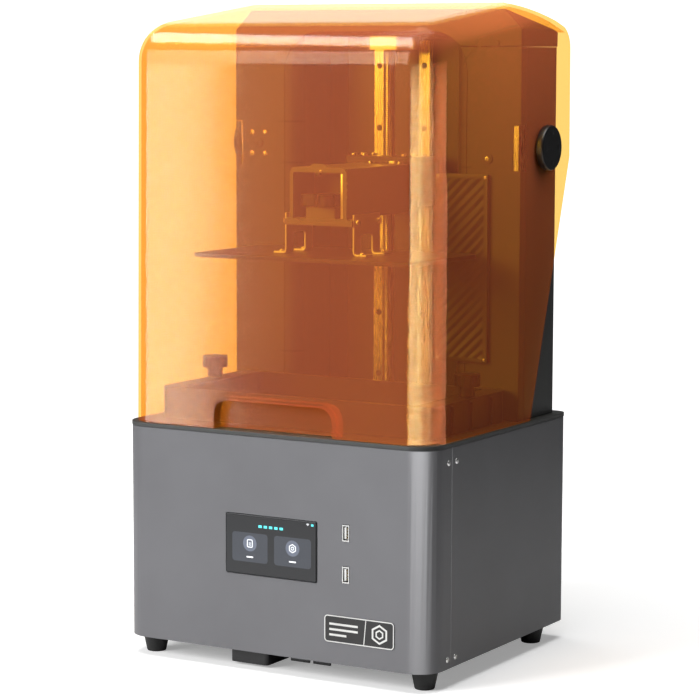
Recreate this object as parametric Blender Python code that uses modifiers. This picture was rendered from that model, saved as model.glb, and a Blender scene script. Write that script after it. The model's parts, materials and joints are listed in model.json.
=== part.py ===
"""Resin 3D printer: grey base, dark tower, hinged transparent lid, Z platform, vat and light engine.

Frame: +X to the right, +Y to the rear, +Z up, metres. The origin is at the bottom centre of the whole object.
Every object below is one separate piece of the machine.
"""

import math

import bmesh
import bpy
from mathutils import Matrix, Vector

# ---------------------------------------------------------------- driving dimensions (metres)
GAP = 0.0004  # air left between neighbouring pieces

BASE_HALF_WIDTH = 0.1665
BASE_FRONT = -0.140
BASE_REAR = 0.140
BASE_CORNER = 0.025
REAR_CORNER = 0.0125
BASE_BOTTOM = 0.018
SHELL_TOP = 0.2205
DECK_TOP = 0.2245
SHEET = 0.002
SEAM_Y = -0.0997

TOWER_HALF_WIDTH = 0.1585
TOWER_FRONT = 0.047
TOWER_REAR = 0.124
TOWER_APEX = (0.050, 0.613)
TOWER_TOP_REAR = 0.592
TOWER_CHAMFER = 0.0185
TOWER_SPLIT = 0.578
BAY_HALF_WIDTH = 0.087
BAY_EDGE_RADIUS = 0.014
BAY_BACK = 0.1106
BAY_ARCH_TOP = 0.592
BAY_ARCH_RADIUS = 0.038
LINER_TOP = 0.590
FILTER_X = (0.1065, 0.1235)
FILTER_Z = (0.290, 0.448)
VENT = (0.0705, 0.1265, 0.279, 0.458)
VENT_FRONT = 0.043

COLUMN_HALF_WIDTH = 0.066
COLUMN_TOP = 0.586
RAIL_X = 0.025
RAIL_WIDTH = 0.012
RAIL_DEPTH = 0.008
RAIL_LOW = 0.232
RAIL_HIGH = 0.584
SCREW_Y = 0.077
SCREW_RADIUS = 0.006
CARRIAGE_LOW = 0.424
CARRIAGE_TOP = 0.472

LID_BOTTOM = 0.225
LID_HALF_BOTTOM = 0.1655
LID_FRONT_BOTTOM = -0.1385
LID_FRONT_TOP = -0.1360
LID_FRONT_TOP_Z = 0.5955
LID_APEX = (0.050, 0.619)
LID_REAR = 0.1408
LID_REAR_TOP_Z = 0.5931
LID_REAR_LOW_Z = 0.473
LID_REAR_FOOT = 0.059
LID_WALL = 0.003
LID_FILLET = 0.040
LID_TAPER = 0.0046  # how much each side leans in for each metre of height
LID_BAND_X = 0.026
LID_BAND_Y = 0.028
LID_BAND_Z = 0.0235
LID_BAND_CREASE = 15.0  # degrees at which the band leaves the flat faces
HINGE_Y = 0.085
HINGE_Z = 0.483
DISC_RADIUS = 0.0215
PIN_RADIUS = 0.006
HINGE_BLOCK_X = (0.1510, 0.1560)
HINGE_BLOCK_HALF = 0.0212

PLATE_HALF_WIDTH = 0.1185
PLATE_FRONT = -0.091
PLATE_REAR = 0.038
PLATE_BOTTOM = 0.379
PLATE_THICKNESS = 0.004
BRACKET_X = 0.037
BRACKET_Y = (-0.055, -0.0065)
BRACKET_TOP = 0.422
ARM_HALF_WIDTH = 0.0307
ARM_BOTTOM = 0.418
ARM_TOP = 0.465
KNOB_Y = -0.046

VAT_HALF_WIDTH = 0.1475
VAT_FRONT = -0.104
VAT_REAR = 0.0445
VAT_BOTTOM = 0.2252
VAT_TOP = 0.255
VAT_KNOB_X = 0.1395
VAT_KNOB_Y = -0.021

SCREEN_HALF_WIDTH = 0.0493
SCREEN_LOW = 0.0913
SCREEN_HIGH = 0.1476
FRONT_SKIN = -0.1408
USB_X = 0.0797
USB_HALF_WIDTH = 0.0036
USB_HEIGHT = 0.0152
USB_LOW = {"usb_port_upper": 0.1326, "usb_port_lower": 0.0942}
BADGE = (0.0575, 0.0384, 0.1307, 0.0638)

LCD_BOX = (-0.1235, -0.0985, 0.1235, 0.0455)
FLOOR_FAN = (-0.035, -0.103)
REAR_FAN_X = -0.085
REAR_FAN_Z = 0.118
INLET_X = 0.105
INLET_LOW = 0.050
INLET_HIGH = 0.104
SWITCH_Z = 0.089
SWITCH_PIVOT_Y = BASE_REAR - 0.0075

NAME = "resin_printer"

# colour, roughness, metallic
FINISHES = {
    "base_metal": ((0.23, 0.23, 0.25), 0.42, 0.6),
    "dark_metal": ((0.045, 0.046, 0.045), 0.5, 0.3),
    "orange_acrylic": ((1.0, 0.36, 0.05), 0.08, 0.0),
    "black_plastic": ((0.012, 0.012, 0.013), 0.4, 0.0),
    "rubber": ((0.01, 0.01, 0.01), 0.75, 0.0),
    "steel": ((0.6, 0.6, 0.6), 0.3, 1.0),
    "aluminium": ((0.52, 0.52, 0.53), 0.4, 1.0),
    "dark_anodised": ((0.035, 0.035, 0.037), 0.42, 0.8),
    "screen_glass": ((0.008, 0.009, 0.011), 0.06, 0.0),
    "clear_sheet": ((0.7, 0.75, 0.8), 0.05, 0.0),
    "circuit_board": ((0.02, 0.12, 0.05), 0.5, 0.0),
    "brass": ((0.6, 0.42, 0.16), 0.35, 1.0),
    "carbon": ((0.02, 0.02, 0.02), 0.95, 0.0),
}

for old in list(bpy.data.objects):
    bpy.data.objects.remove(old)

PARTS = bpy.data.collections.new(NAME)
CUTTERS = bpy.data.collections.new("cutters")
bpy.context.scene.collection.children.link(PARTS)
bpy.context.scene.collection.children.link(CUTTERS)


# ---------------------------------------------------------------- materials and objects
def finish_material(key):
    """The material of one piece, made once for each finish."""
    made = bpy.data.materials.get(key)
    if made:
        return made
    colour, roughness, metallic = FINISHES[key]
    made = bpy.data.materials.new(key)
    made.use_nodes = True
    shader = made.node_tree.nodes["Principled BSDF"]
    shader.inputs["Base Color"].default_value = (*colour, 1.0)
    shader.inputs["Roughness"].default_value = roughness
    shader.inputs["Metallic"].default_value = metallic
    made.diffuse_color = (*colour, 1.0)
    return made


def centre_of(mesh):
    """Centre of a mesh's box."""
    points = [vertex.co for vertex in mesh.vertices]
    low = Vector([min(p[i] for p in points) for i in range(3)])
    high = Vector([max(p[i] for p in points) for i in range(3)])
    return (low + high) / 2


def piece(name, mesh, finish, pivot=None, smooth=True):
    """Puts a mesh, given in the object's frame, on an object whose origin is pivot."""
    origin = Vector(pivot) if pivot else centre_of(mesh)
    mesh.transform(Matrix.Translation(-origin))
    if smooth:
        mesh.shade_smooth()
        mesh.set_sharp_from_angle(angle=math.radians(32))
    mesh.materials.append(finish_material(finish))
    made = bpy.data.objects.new(name, mesh)
    made.location = origin
    PARTS.objects.link(made)
    return made


def tool(name, mesh):
    """A cutter: never part of the object itself."""
    made = bpy.data.objects.new("cut_" + name, mesh)
    made.display_type = "WIRE"
    made.hide_render = True
    CUTTERS.objects.link(made)
    return made


def boolean(target, mesh, operation="DIFFERENCE"):
    """Cuts target with mesh, joins mesh to it, or keeps what they share."""
    other = tool(f"{target.name}_{len(target.modifiers)}", mesh)
    change = target.modifiers.new(other.name, "BOOLEAN")
    change.object = other
    change.operation = operation
    change.solver = "EXACT"
    return target


def mesh_from(work, name):
    """Turns a bmesh into a mesh whose faces point outwards."""
    bmesh.ops.recalc_face_normals(work, faces=work.faces)
    mesh = bpy.data.meshes.new(name)
    work.to_mesh(mesh)
    work.free()
    return mesh


def applied(mesh, other, operation):
    """The result of one Boolean on two meshes, as a new mesh."""
    holder = bpy.data.objects.new("work", mesh)
    helper = bpy.data.objects.new("work_tool", other)
    for made in (holder, helper):
        bpy.context.scene.collection.objects.link(made)
    change = holder.modifiers.new("step", "BOOLEAN")
    change.object = helper
    change.operation = operation
    change.solver = "EXACT"
    bpy.context.view_layer.update()
    result = bpy.data.meshes.new_from_object(holder.evaluated_get(bpy.context.evaluated_depsgraph_get()))
    for made in (holder, helper):
        bpy.data.objects.remove(made)
    return result


def vectors(points):
    """Plain pairs as 2D points."""
    return [Vector(p) for p in points]


def joined(meshes, name):
    """One mesh that holds several."""
    work = bmesh.new()
    for mesh in meshes:
        work.from_mesh(mesh)
        bpy.data.meshes.remove(mesh)
    return mesh_from(work, name)


# ---------------------------------------------------------------- primitive shapes
def block_mesh(low, high, radius=0.0, axis="Z", segments=5):
    """A box between two corners; radius rounds its four edges along axis."""
    low, high = Vector(low), Vector(high)
    work = bmesh.new()
    bmesh.ops.create_cube(work, size=1.0)
    size = high - low
    bmesh.ops.transform(
        work, matrix=Matrix.Translation((low + high) / 2) @ Matrix.Diagonal((*size, 1.0)), verts=work.verts
    )
    if radius:
        along = "XYZ".index(axis)
        edges = [
            e for e in work.edges if abs(e.verts[0].co[along] - e.verts[1].co[along]) > size[along] * 0.9
        ]
        bmesh.ops.bevel(
            work,
            geom=edges,
            offset=radius,
            segments=segments,
            affect="EDGES",
            profile=0.5,
            clamp_overlap=True,
        )
    return mesh_from(work, "block")


def cone_mesh(start, end, radius_start, radius_end=None, sides=32):
    """A cylinder, or a cone, from start to end."""
    start, end = Vector(start), Vector(end)
    radius_end = radius_start if radius_end is None else radius_end
    work = bmesh.new()
    bmesh.ops.create_cone(
        work,
        cap_ends=True,
        segments=sides,
        radius1=radius_start,
        radius2=radius_end,
        depth=(end - start).length,
    )
    turn = Vector((0, 0, 1)).rotation_difference(end - start).to_matrix().to_4x4()
    bmesh.ops.transform(work, matrix=Matrix.Translation((start + end) / 2) @ turn, verts=work.verts)
    return mesh_from(work, "cone")


def rounded(corners, steps=5):
    """A closed outline from corners (x, y, radius): each radius becomes an arc."""
    points = []
    count = len(corners)
    for i, (x, y, radius) in enumerate(corners):
        here = Vector((x, y))
        if not radius:
            points.append(here)
            continue
        before = (Vector(corners[i - 1][:2]) - here).normalized()
        after = (Vector(corners[(i + 1) % count][:2]) - here).normalized()
        half = before.angle(after) / 2
        reach = radius / math.tan(half)
        centre = here + (before + after).normalized() * (radius / math.sin(half))
        first = here + before * reach - centre
        last = here + after * reach - centre
        sweep = first.angle_signed(last)
        for step in range(steps + 1):
            angle = -sweep * step / steps
            turn = Matrix.Rotation(angle, 2)
            points.append(centre + turn @ first)
    return points


def rectangle(x0, y0, x1, y1, radius=0.0, steps=5):
    """A rectangle's outline with rounded corners."""
    return rounded([(x0, y0, radius), (x1, y0, radius), (x1, y1, radius), (x0, y1, radius)], steps)


def circle(x, y, radius, sides=32):
    """A circle's outline."""
    turn = 2 * math.pi / sides
    return [Vector((x + radius * math.cos(turn * i), y + radius * math.sin(turn * i))) for i in range(sides)]


# How an outline's first and second coordinate and its thickness lie in the object's frame.
PLANES = {
    "XY": Matrix(((1, 0, 0, 0), (0, 1, 0, 0), (0, 0, 1, 0), (0, 0, 0, 1))),
    "YZ": Matrix(((0, 0, 1, 0), (1, 0, 0, 0), (0, 1, 0, 0), (0, 0, 0, 1))),
    "XZ": Matrix(((1, 0, 0, 0), (0, 0, -1, 0), (0, 1, 0, 0), (0, 0, 0, 1))),
}


def prism_mesh(plane, outline, start, end, holes=()):
    """A flat outline in a plane, thickened from start to end along the plane's normal axis."""
    curve = bpy.data.curves.new("outline", "CURVE")
    curve.dimensions = "2D"
    curve.fill_mode = "BOTH"
    curve.extrude = abs(end - start) / 2
    for loop in (outline, *holes):
        spline = curve.splines.new("POLY")
        spline.points.add(len(loop) - 1)
        for point, place in zip(spline.points, loop):
            point.co = (place[0], place[1], 0, 1)
        spline.use_cyclic_u = True
    holder = bpy.data.objects.new("outline", curve)
    bpy.context.scene.collection.objects.link(holder)
    bpy.context.view_layer.update()
    flat = bpy.data.meshes.new_from_object(holder.evaluated_get(bpy.context.evaluated_depsgraph_get()))
    bpy.data.objects.remove(holder)
    bpy.data.curves.remove(curve)
    work = bmesh.new()
    work.from_mesh(flat)
    bpy.data.meshes.remove(flat)
    bmesh.ops.remove_doubles(work, verts=work.verts, dist=1e-6)
    bmesh.ops.dissolve_limit(work, angle_limit=0.0005, verts=work.verts, edges=work.edges)
    middle = (start + end) / 2
    if plane == "XZ":
        middle = -middle
    bmesh.ops.transform(work, matrix=PLANES[plane] @ Matrix.Translation((0, 0, middle)), verts=work.verts)
    return mesh_from(work, "prism")


def block(name, low, high, finish, radius=0.0, axis="Z", segments=5, pivot=None):
    """A box piece."""
    return piece(name, block_mesh(low, high, radius, axis, segments), finish, pivot)


def prism(name, plane, outline, start, end, finish, holes=(), pivot=None):
    """A flat outline piece."""
    return piece(name, prism_mesh(plane, outline, start, end, holes), finish, pivot)


def soften(target, width, segments=2):
    """Small rounding on every sharp edge."""
    change = target.modifiers.new("soft_edges", "BEVEL")
    change.width = width
    change.segments = segments
    change.limit_method = "ANGLE"
    change.angle_limit = math.radians(50)
    return target


# ---------------------------------------------------------------- base
def base_outline(inset):
    """The base's plan outline, drawn in by inset."""
    half = BASE_HALF_WIDTH - inset
    return rounded(
        [
            (-half, BASE_FRONT + inset, BASE_CORNER - inset),
            (half, BASE_FRONT + inset, BASE_CORNER - inset),
            (half, BASE_REAR - inset, REAR_CORNER - inset),
            (-half, BASE_REAR - inset, REAR_CORNER - inset),
        ],
        8,
    )


def wrap_outline(edge_y, outer_y, corner):
    """A U of sheet metal in plan: from edge_y round the two corners at outer_y and back."""
    inner = outer_y + SHEET if outer_y < edge_y else outer_y - SHEET
    half = BASE_HALF_WIDTH
    return rounded(
        [
            (-half, edge_y, 0),
            (-half, outer_y, corner),
            (half, outer_y, corner),
            (half, edge_y, 0),
            (half - SHEET, edge_y, 0),
            (half - SHEET, inner, corner - SHEET),
            (-half + SHEET, inner, corner - SHEET),
            (-half + SHEET, edge_y, 0),
        ],
        8,
    )


def build_base():
    shell_low = BASE_BOTTOM + GAP
    front = prism(
        "base_front_panel",
        "XY",
        wrap_outline(SEAM_Y - GAP / 2, BASE_FRONT, BASE_CORNER),
        shell_low,
        SHELL_TOP,
        "base_metal",
    )
    wall = (BASE_FRONT - 0.005, BASE_FRONT + 0.006)
    boolean(
        front,
        block_mesh(
            (-SCREEN_HALF_WIDTH - GAP, wall[0], SCREEN_LOW - GAP),
            (SCREEN_HALF_WIDTH + GAP, wall[1], SCREEN_HIGH + GAP),
            0.0019,
            "Y",
            3,
        ),
    )
    for low in USB_LOW.values():
        boolean(
            front,
            block_mesh(
                (USB_X - USB_HALF_WIDTH - GAP, wall[0], low - GAP),
                (USB_X + USB_HALF_WIDTH + GAP, wall[1], low + USB_HEIGHT + GAP),
            ),
        )
    rear = prism(
        "base_rear_shell",
        "XY",
        wrap_outline(SEAM_Y + GAP / 2, BASE_REAR, REAR_CORNER),
        shell_low,
        SHELL_TOP,
        "base_metal",
    )
    slots = [
        block_mesh((x - 0.0016, BASE_REAR - 0.006, 0.090), (x + 0.0016, BASE_REAR + 0.004, 0.146))
        for x in spread(REAR_FAN_X, 0.0064, 9)
    ]
    boolean(rear, joined(slots, "fan_slots"))
    boolean(
        rear,
        block_mesh(
            (INLET_X - 0.0242, BASE_REAR - 0.006, INLET_LOW - GAP),
            (INLET_X + 0.0242, BASE_REAR + 0.004, INLET_HIGH + GAP),
            0.002,
            "Y",
            3,
        ),
    )
    inset = SHEET + GAP
    prism(
        "base_floor_plate",
        "XY",
        base_outline(inset),
        shell_low,
        shell_low + SHEET,
        "dark_metal",
        holes=[circle(FLOOR_FAN[0], FLOOR_FAN[1], 0.0165, 28)],
    )
    for side_y, word_y in ((-0.113, "front"), (0.103, "rear")):
        for side_x, word_x in ((-0.147, "left"), (0.147, "right")):
            foot = cone_mesh((side_x, side_y, 0), (side_x, side_y, BASE_BOTTOM), 0.0091, 0.0129, 28)
            soften(piece(f"foot_{word_y}_{word_x}", foot, "rubber"), 0.0008)

    deck = prism(
        "deck_plate",
        "XY",
        base_outline(-0.0005),
        SHELL_TOP + GAP,
        DECK_TOP,
        "dark_metal",
        holes=[
            rectangle(*LCD_BOX, 0.003, 2),
            circle(0, SCREW_Y, 0.0105, 24),
            circle(-VAT_KNOB_X, VAT_KNOB_Y, 0.0036, 16),
            circle(VAT_KNOB_X, VAT_KNOB_Y, 0.0036, 16),
        ],
    )
    soften(deck, 0.0009)
    plate = prism_mesh("XZ", rectangle(*BADGE, 0.0035, 4), FRONT_SKIN, BASE_FRONT - GAP / 2)
    piece("badge_plate", plate, "black_plastic")


def spread(middle, pitch, count):
    """Places that repeat at a pitch about a middle."""
    return [middle + pitch * (i - (count - 1) / 2) for i in range(count)]


def build_front_items():
    screen = block(
        "touchscreen",
        (-SCREEN_HALF_WIDTH, FRONT_SKIN, SCREEN_LOW),
        (SCREEN_HALF_WIDTH, -0.129, SCREEN_HIGH),
        "screen_glass",
        0.0016,
        "Y",
        3,
    )
    soften(screen, 0.0003, 1)
    for name, low in USB_LOW.items():
        port = block(
            name,
            (USB_X - USB_HALF_WIDTH, BASE_FRONT - 0.0003, low),
            (USB_X + USB_HALF_WIDTH, -0.126, low + USB_HEIGHT),
            "steel",
        )
        boolean(
            port,
            block_mesh(
                (USB_X - 0.0027, -0.145, low + 0.0012),
                (USB_X + 0.0027, -0.131, low + USB_HEIGHT - 0.0012),
            ),
        )


def rotor_mesh(centre, axis, hub_radius, tip_radius, depth, blades):
    """A fan rotor: a closed hub with pitched blades rooted in it."""
    work_parts = [cone_mesh((0, 0, -depth / 2), (0, 0, depth / 2), hub_radius, sides=24)]
    for i in range(blades):
        blade = block_mesh(
            (hub_radius - 0.0012, -0.0007, -depth * 0.62),
            (tip_radius, 0.0007, depth * 0.62),
        )
        blade.transform(Matrix.Rotation(math.radians(42), 4, "X"))
        blade.transform(Matrix.Rotation(2 * math.pi * i / blades, 4, "Z"))
        work_parts.append(blade)
    turn = Matrix.Identity(4) if axis == "Z" else Matrix.Rotation(math.pi / 2, 4, "X")
    for mesh in work_parts:
        mesh.transform(Matrix.Translation(Vector(centre)) @ turn)
    return work_parts


def rotor(name, centre, axis, hub_radius, tip_radius, depth, blades, finish):
    """The rotor piece, its blades joined to the hub."""
    hub, *wings = rotor_mesh(centre, axis, hub_radius, tip_radius, depth, blades)
    made = piece(name, hub, finish, pivot=centre)
    for wing in wings:
        boolean(made, wing, "UNION")
    return made


def square_fan(name, centre, size, depth, axis, finish):
    """Frame with a bearing bar across its far side, and the rotor in its bore."""
    half = size / 2
    bore = half * 0.9
    plane = {"Z": "XY", "Y": "XZ"}[axis]
    first, second, along = {"Z": (0, 1, 2), "Y": (0, 2, 1)}[axis]
    u, v, w = centre[first], centre[second], centre[along]
    frame = prism(
        f"{name}_frame",
        plane,
        rectangle(u - half, v - half, u + half, v + half, size * 0.09, 4),
        w - depth / 2,
        w + depth / 2,
        finish,
        holes=[circle(u, v, bore, 32)],
    )
    bars = {
        "Z": (
            (u - bore - 0.001, v - 0.0045, w - depth / 2),
            (u + bore + 0.001, v + 0.0045, w - depth / 2 + 0.0016),
        ),
        "Y": (
            (u - bore - 0.001, w - depth / 2, v - 0.0045),
            (u + bore + 0.001, w - depth / 2 + 0.0016, v + 0.0045),
        ),
    }
    boolean(frame, block_mesh(*bars[axis]), "UNION")
    shift = [0.0, 0.0, 0.0]
    shift[along] = 0.0010
    middle = tuple(c + s for c, s in zip(centre, shift))
    rotor(f"{name}_rotor", middle, axis, half * 0.36, bore - 0.0008, depth - 0.0062, 7, finish)


def build_fans():
    square_fan("floor_fan", (FLOOR_FAN[0], FLOOR_FAN[1], 0.0102), 0.041, 0.0152, "Z", "black_plastic")
    square_fan(
        "rear_fan",
        (REAR_FAN_X, BASE_REAR - SHEET - GAP - 0.0075, REAR_FAN_Z),
        0.060,
        0.015,
        "Y",
        "black_plastic",
    )


def build_electrics():
    depth = 0.030
    inlet = block(
        "power_inlet",
        (INLET_X - 0.0238, BASE_REAR - depth, INLET_LOW),
        (INLET_X + 0.0238, BASE_REAR + 0.0008, INLET_HIGH),
        "black_plastic",
        0.0018,
        "Y",
        3,
    )
    boolean(
        inlet,
        block_mesh(
            (INLET_X - 0.0122, BASE_REAR - 0.016, INLET_LOW + 0.005),
            (INLET_X + 0.0122, BASE_REAR + 0.004, INLET_LOW + 0.0215),
            0.003,
            "Y",
            2,
        ),
    )
    boolean(
        inlet,
        block_mesh(
            (INLET_X - 0.0118, BASE_REAR - 0.013, SWITCH_Z - 0.0078),
            (INLET_X + 0.0118, BASE_REAR + 0.004, SWITCH_Z + 0.0078),
        ),
    )
    half = 0.0066
    face = BASE_REAR - 0.0004
    outline = [
        (face - 0.0065, SWITCH_Z - half),
        (face, SWITCH_Z - half),
        (face - 0.0016, SWITCH_Z),
        (face, SWITCH_Z + half),
        (face - 0.0065, SWITCH_Z + half),
    ]
    rocker = prism_mesh("YZ", [Vector(p) for p in outline], INLET_X - 0.0112, INLET_X + 0.0112)
    pivot = Vector((INLET_X, SWITCH_PIVOT_Y, SWITCH_Z))
    rocker.transform(
        Matrix.Translation(pivot) @ Matrix.Rotation(math.radians(-7), 4, "X") @ Matrix.Translation(-pivot),
    )
    piece("power_switch", rocker, "black_plastic", pivot=pivot)

    block("mainboard", (-0.150, 0.000, 0.060), (-0.1484, 0.095, 0.190), "circuit_board")
    block("power_supply", (0.040, 0.045, 0.0225), (0.150, 0.094, 0.142), "aluminium", 0.002, "X", 2)

    box_half = (0.105, 0.066)
    middle_y = (LCD_BOX[1] + LCD_BOX[3]) / 2
    low = 0.142
    housing = block(
        "light_housing",
        (-box_half[0], middle_y - box_half[1], low),
        (box_half[0], middle_y + box_half[1], 0.2186),
        "black_plastic",
        0.004,
        "Z",
        2,
    )
    boolean(
        housing,
        block_mesh(
            (-box_half[0] + 0.003, middle_y - box_half[1] + 0.003, low + 0.004),
            (box_half[0] - 0.003, middle_y + box_half[1] - 0.003, 0.240),
        ),
    )
    block(
        "field_lens",
        (-box_half[0] + 0.0034, middle_y - box_half[1] + 0.0034, 0.2120),
        (box_half[0] - 0.0034, middle_y + box_half[1] - 0.0034, 0.2150),
        "clear_sheet",
    )
    fin_high = low - GAP
    sink = block(
        "heat_sink",
        (-0.060, middle_y - 0.045, fin_high - 0.035),
        (0.060, middle_y + 0.045, fin_high),
        "aluminium",
    )
    grooves = [
        block_mesh(
            (x - 0.0027, middle_y - 0.050, fin_high - 0.040),
            (x + 0.0027, middle_y + 0.050, fin_high - 0.006),
        )
        for x in spread(0.0, 0.0086, 13)
    ]
    boolean(sink, joined(grooves, "grooves"))
    block(
        "lcd_panel",
        (LCD_BOX[0] + GAP, LCD_BOX[1] + GAP, 0.2214),
        (LCD_BOX[2] - GAP, LCD_BOX[3] - GAP, 0.2242),
        "screen_glass",
        0.0028,
        "Z",
        2,
    )


# ---------------------------------------------------------------- tower
def tower_solid(inset, low):
    """The tower's outer block, drawn in by inset: chamfered top edges, and a top that falls to the rear."""
    half = TOWER_HALF_WIDTH - inset
    top = TOWER_APEX[1] - inset
    chamfer = TOWER_CHAMFER - inset * 0.4
    front_view = [
        (-half, low),
        (half, low),
        (half, top - chamfer),
        (half - chamfer, top),
        (-half + chamfer, top),
        (-half, top - chamfer),
    ]
    side_view = [
        (TOWER_FRONT + inset, low - 0.01),
        (TOWER_REAR - inset, low - 0.01),
        (TOWER_REAR - inset, TOWER_TOP_REAR - inset),
        (TOWER_APEX[0], top),
        (TOWER_APEX[0], top + 0.05),
        (TOWER_FRONT + inset, top + 0.05),
    ]
    body = prism_mesh("XZ", vectors(front_view), TOWER_FRONT + inset, TOWER_REAR - inset)
    slope = prism_mesh("YZ", vectors(side_view), -0.2, 0.2)
    return applied(body, slope, "INTERSECT")


def bay_arch(half, top):
    """The opening of the Z bay: straight sides and a top with round corners."""
    outline = rounded(
        [
            (-half, 0.20, 0),
            (half, 0.20, 0),
            (half, top, BAY_ARCH_RADIUS),
            (-half, top, BAY_ARCH_RADIUS),
        ],
        8,
    )
    return prism_mesh("XZ", outline, TOWER_FRONT - 0.03, TOWER_FRONT + 0.03)


def build_tower():
    low = DECK_TOP + GAP
    cover_top = TOWER_SPLIT - GAP
    half = TOWER_HALF_WIDTH
    flange_end = TOWER_FRONT + 0.012

    cap = piece("tower_top_cap", tower_solid(0.0, TOWER_SPLIT), "dark_metal")
    boolean(cap, tower_solid(SHEET, TOWER_SPLIT - 0.02))
    edge = BAY_HALF_WIDTH + BAY_EDGE_RADIUS
    boolean(cap, bay_arch(edge + GAP, BAY_ARCH_TOP))

    rear_outline = rounded(
        [
            (-half, flange_end, 0),
            (-half, TOWER_REAR, 0.003),
            (half, TOWER_REAR, 0.003),
            (half, flange_end, 0),
            (half - SHEET, flange_end, 0),
            (half - SHEET, TOWER_REAR - SHEET, 0.001),
            (-half + SHEET, TOWER_REAR - SHEET, 0.001),
            (-half + SHEET, flange_end, 0),
        ],
        3,
    )
    rear = prism("tower_rear_cover", "XY", rear_outline, low, cover_top, "dark_metal")
    for side in (-1, 1):
        hole = cone_mesh(
            (side * 0.150, HINGE_Y, HINGE_Z),
            (side * 0.165, HINGE_Y, HINGE_Z),
            PIN_RADIUS + 0.0015,
            sides=20,
        )
        boolean(rear, hole)
    slots = [
        block_mesh((x - 0.003, TOWER_REAR - 0.006, 0.300), (x + 0.003, TOWER_REAR + 0.004, 0.380))
        for x in spread(0.115, 0.010, 5)
    ]
    boolean(rear, joined(slots, "filter_exhaust"))

    for side, word in ((-1, "left"), (1, "right")):
        span = sorted((side * half, side * 0.060))
        wing = block(
            f"tower_front_{word}",
            (span[0], TOWER_FRONT, low),
            (span[1], TOWER_FRONT + SHEET, cover_top),
            "dark_metal",
        )
        boolean(wing, bay_arch(edge + GAP, BAY_ARCH_TOP))
        flange = sorted((side * half, side * (half - SHEET)))
        side_wall = block_mesh(
            (flange[0], TOWER_FRONT + 0.0005, low),
            (flange[1], flange_end - GAP, cover_top),
        )
        boolean(wing, side_wall, "UNION")
        notch = sorted((side * (HINGE_BLOCK_X[0] - GAP), side * 0.170))
        boolean(
            wing,
            block_mesh(
                (notch[0], TOWER_FRONT - 0.01, HINGE_Z - HINGE_BLOCK_HALF - GAP),
                (notch[1], flange_end + 0.001, HINGE_Z + HINGE_BLOCK_HALF + GAP),
            ),
        )
        if side == 1:
            window = rectangle(FILTER_X[0], FILTER_Z[0], FILTER_X[1], FILTER_Z[1], 0.002, 2)
            boolean(wing, prism_mesh("XZ", window, TOWER_FRONT - 0.01, TOWER_FRONT + 0.01))

    bay = BAY_HALF_WIDTH
    liner_outline = rounded(
        [
            (-edge, TOWER_FRONT, 0),
            (-bay, TOWER_FRONT, BAY_EDGE_RADIUS),
            (-bay, BAY_BACK, 0),
            (bay, BAY_BACK, 0),
            (bay, TOWER_FRONT, BAY_EDGE_RADIUS),
            (edge, TOWER_FRONT, 0),
            (edge, TOWER_FRONT + SHEET, 0),
            (bay + SHEET, TOWER_FRONT + SHEET, BAY_EDGE_RADIUS - SHEET),
            (bay + SHEET, BAY_BACK + SHEET, 0),
            (-bay - SHEET, BAY_BACK + SHEET, 0),
            (-bay - SHEET, TOWER_FRONT + SHEET, BAY_EDGE_RADIUS - SHEET),
            (-edge, TOWER_FRONT + SHEET, 0),
        ],
        6,
    )
    liner = prism("z_bay_liner", "XY", liner_outline, low, LINER_TOP, "dark_metal")
    shoulder = block_mesh((-0.12, TOWER_FRONT - 0.01, 0.53), (0.12, TOWER_FRONT + BAY_EDGE_RADIUS, 0.62))
    boolean(liner, applied(shoulder, bay_arch(edge + GAP / 2, BAY_ARCH_TOP - GAP), "DIFFERENCE"))
    window = block_mesh(
        (-COLUMN_HALF_WIDTH - GAP, BAY_BACK - 0.005, low + 0.004),
        (COLUMN_HALF_WIDTH + GAP, BAY_BACK + 0.010, COLUMN_TOP + GAP),
    )
    boolean(liner, window)

    ribs = []
    step = 0.0074
    low_x, high_x, low_z, high_z = VENT
    count = int((high_z - low_z + high_x - low_x) / step)
    for i in range(count):
        rib = block_mesh((-0.09, VENT_FRONT - 0.001, -0.0017), (0.09, VENT_FRONT + 0.0016, 0.0017))
        rib.transform(Matrix.Rotation(math.radians(-45), 4, "Y"))
        rib.transform(Matrix.Translation(((low_x + high_x) / 2, 0, low_z - 0.024 + step * 1.42 * i)))
        ribs.append(rib)
    border = 0.0045
    field = block_mesh(
        (low_x + border, VENT_FRONT - 0.002, low_z + border), (
            high_x - border,
            VENT_FRONT + 0.003,
            high_z - border,
        )
    )
    ribs = [rib for rib in ribs if low_z - 0.03 < centre_of(rib).z < high_z + 0.03]
    vent = block(
        "vent_panel",
        (low_x, VENT_FRONT, low_z),
        (high_x, TOWER_FRONT - GAP, high_z),
        "dark_metal",
        0.0015,
        "Y",
        2,
    )
    boolean(vent, applied(joined(ribs, "ribs"), field, "INTERSECT"))
    block(
        "carbon_filter",
        (FILTER_X[0] + GAP, TOWER_FRONT + 0.0003, FILTER_Z[0] + GAP),
        (FILTER_X[1] - GAP, TOWER_FRONT + 0.040, FILTER_Z[1] - GAP),
        "carbon",
        0.0022,
        "Y",
        2,
    )
    for side, word in ((-1, "left"), (1, "right")):
        span = sorted((side * HINGE_BLOCK_X[0], side * HINGE_BLOCK_X[1]))
        hinge = block(
            f"hinge_block_{word}",
            (span[0], TOWER_FRONT + 0.0004, HINGE_Z - HINGE_BLOCK_HALF),
            (span[1], HINGE_Y + 0.016, HINGE_Z + HINGE_BLOCK_HALF),
            "steel",
        )
        bore = cone_mesh(
            (side * 0.140, HINGE_Y, HINGE_Z),
            (side * 0.170, HINGE_Y, HINGE_Z),
            PIN_RADIUS + 0.0003,
            sides=24,
        )
        boolean(hinge, bore)


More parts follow.
